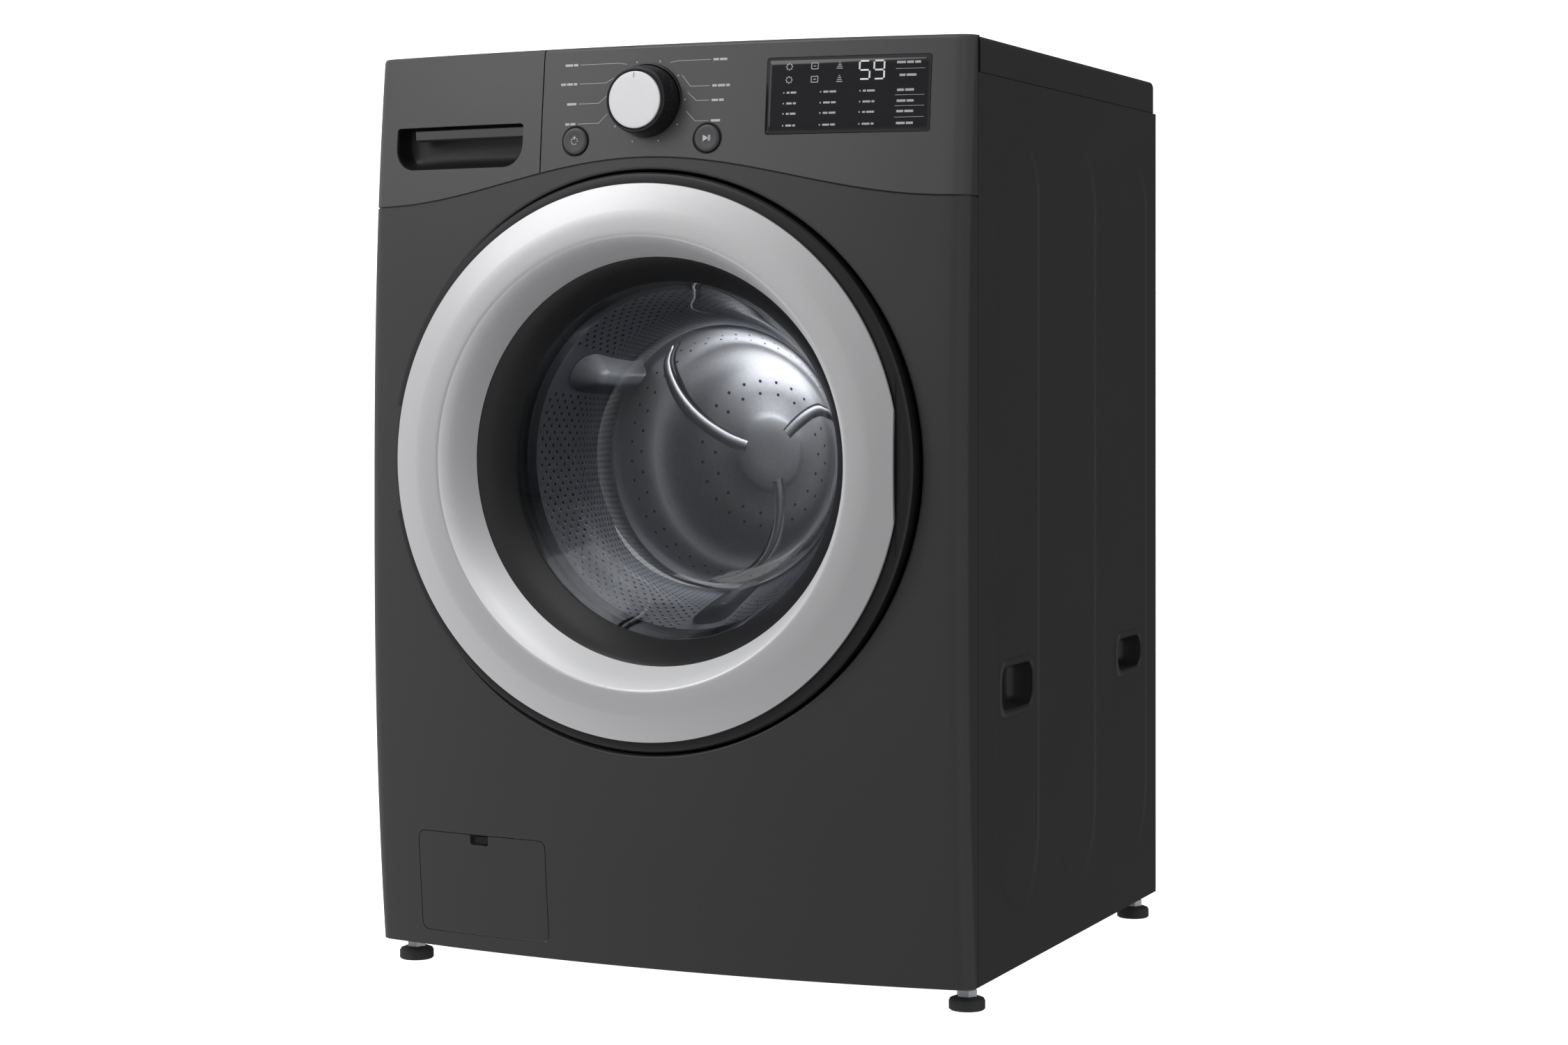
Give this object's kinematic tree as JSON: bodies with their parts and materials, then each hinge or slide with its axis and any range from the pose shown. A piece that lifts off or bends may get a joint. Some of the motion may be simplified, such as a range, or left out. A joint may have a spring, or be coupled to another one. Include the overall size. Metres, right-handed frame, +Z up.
{
  "type": "front load washing machine",
  "caption": "Free-standing front load washing machine with a round glass door, dished control fascia, detergent drawer, suspended tub with spinning drum and levelling feet.",
  "frame": {"origin": "on the floor, at the middle of the machine's outer box in plan", "axes": "+X to the machine's right as seen from the front, +Y to the back, +Z up; the front faces -Y"},
  "size_m": [0.686, 0.7296, 0.983],
  "materials": {
    "cabinet_paint": "satin",
    "fascia_plastic": "satin",
    "silver_trim": "satin",
    "gloss_black": "gloss",
    "black_plastic": "matte",
    "button_plastic": "satin",
    "door_bowl_glass": "gloss",
    "gasket_rubber": "matte",
    "foot_rubber": "matte",
    "stainless": "satin",
    "zinc_plate": "satin",
    "cast_alloy": "matte",
    "tub_plastic": "matte",
    "white_plastic": "satin",
    "circuit_board": "satin",
    "concrete": "matte"
  },
  "bodies": {
    "cabinet": {"side_panel_left": "cabinet_paint", "side_panel_right": "cabinet_paint", "top_cover": "cabinet_paint", "rear_panel": "cabinet_paint", "rear_cover": "cabinet_paint", "front_panel": "cabinet_paint", "control_panel": "fascia_plastic", "display_window": "gloss_black", "cord_gland": "black_plastic", "door_gasket": "gasket_rubber", "drain_outlet": "gasket_rubber", "suspension_spring_left": "stainless", "suspension_spring_right": "stainless", "base_frame": "zinc_plate", "top_brace": "zinc_plate", "door_hinge_bracket": "zinc_plate", "damper_tube_left": "zinc_plate", "damper_tube_right": "zinc_plate", "dispenser_housing": "tub_plastic", "drain_pump": "white_plastic", "inlet_valve": "white_plastic", "main_board_case": "white_plastic", "door_lock": "white_plastic", "display_board": "circuit_board"},
    "door": {"door_ring": "silver_trim", "door_frame": "black_plastic", "door_glass": "door_bowl_glass", "door_back_frame": "black_plastic", "door_hinge_arm": "zinc_plate", "door_hinge_pin": "stainless"},
    "latch": {"door_latch_hook": "zinc_plate"},
    "drawer": {"drawer_front": "fascia_plastic", "drawer_tray": "white_plastic"},
    "knob": {"knob_skirt": "gloss_black", "knob_cap": "silver_trim"},
    "power": {"power_button": "button_plastic"},
    "start": {"start_button": "button_plastic"},
    "hatch": {"service_cover": "cabinet_paint"},
    "filter": {"filter_cap": "white_plastic"},
    "tub": {"tub_front": "tub_plastic", "tub_rear": "tub_plastic", "motor_stator": "cast_alloy", "counterweight_top": "concrete", "counterweight_bottom": "concrete", "drum_bearing_front": "stainless", "drum_bearing_rear": "stainless", "damper_rod_left": "stainless", "damper_rod_right": "stainless"},
    "drum": {"drum_shell": "stainless", "drum_back": "stainless", "drum_spider": "cast_alloy", "drum_shaft": "stainless", "motor_rotor": "zinc_plate", "drum_lifter_1": "white_plastic", "drum_lifter_2": "white_plastic", "drum_lifter_3": "white_plastic"},
    "levelling_front_left": {"foot_front_left": "foot_rubber"},
    "levelling_front_right": {"foot_front_right": "foot_rubber"},
    "levelling_rear_left": {"foot_rear_left": "foot_rubber"},
    "levelling_rear_right": {"foot_rear_right": "foot_rubber"}
  },
  "joints": [
    {"name": "door_swing", "type": "hinge", "parent": "cabinet", "child": "door", "pos_m": [-0.29, -0.338, 0.551], "axis": [0, 0, -1], "range_deg": [0, 120]},
    {"name": "latch_turn", "type": "hinge", "parent": "door", "child": "latch", "pos_m": [0.266, -0.2845, 0.551], "axis": [0, 0, 1], "range_deg": [0, 4], "stiffness_Nm_per_rad": 2},
    {"name": "drawer_slide", "type": "slide", "parent": "cabinet", "child": "drawer", "axis": [0, -1, 0], "range_m": [0, 0.17]},
    {"name": "knob_turn", "type": "hinge", "parent": "cabinet", "child": "knob", "pos_m": [0, -0.3648, 0.9227], "axis": [0, -1, 0], "continuous": true},
    {"name": "power_press", "type": "slide", "parent": "cabinet", "child": "power", "axis": [0, 1, 0], "range_m": [0, 0.002], "stiffness_N_per_m": 800},
    {"name": "start_press", "type": "slide", "parent": "cabinet", "child": "start", "axis": [0, 1, 0], "range_m": [0, 0.002], "stiffness_N_per_m": 800},
    {"name": "hatch_swing", "type": "hinge", "parent": "cabinet", "child": "hatch", "pos_m": [-0.2, -0.32077, 0.0455], "axis": [0.9942, -0.1072, 0], "range_deg": [0, 80]},
    {"name": "filter_turn", "type": "hinge", "parent": "cabinet", "child": "filter", "pos_m": [-0.2, -0.28, 0.104], "axis": [0, -1, 0], "range_deg": [0, 360]},
    {"name": "tub_float", "type": "slide", "parent": "cabinet", "child": "tub", "axis": [0, 0, 1], "range_m": [-0.006, 0.006], "stiffness_N_per_m": 12000, "springref_m": 0.0267, "deforming": ["suspension_spring_left", "suspension_spring_right", "door_gasket"]},
    {"name": "drum_spin", "type": "hinge", "parent": "tub", "child": "drum", "pos_m": [0, 0, 0.551], "axis": [0, -1, 0], "continuous": true},
    {"name": "levelling_front_left_screw", "type": "slide", "parent": "cabinet", "child": "levelling_front_left", "axis": [0, 0, -1], "range_m": [0, 0.012]},
    {"name": "levelling_front_right_screw", "type": "slide", "parent": "cabinet", "child": "levelling_front_right", "axis": [0, 0, -1], "range_m": [0, 0.012]},
    {"name": "levelling_rear_left_screw", "type": "slide", "parent": "cabinet", "child": "levelling_rear_left", "axis": [0, 0, -1], "range_m": [0, 0.012]},
    {"name": "levelling_rear_right_screw", "type": "slide", "parent": "cabinet", "child": "levelling_rear_right", "axis": [0, 0, -1], "range_m": [0, 0.012]}
  ]
}
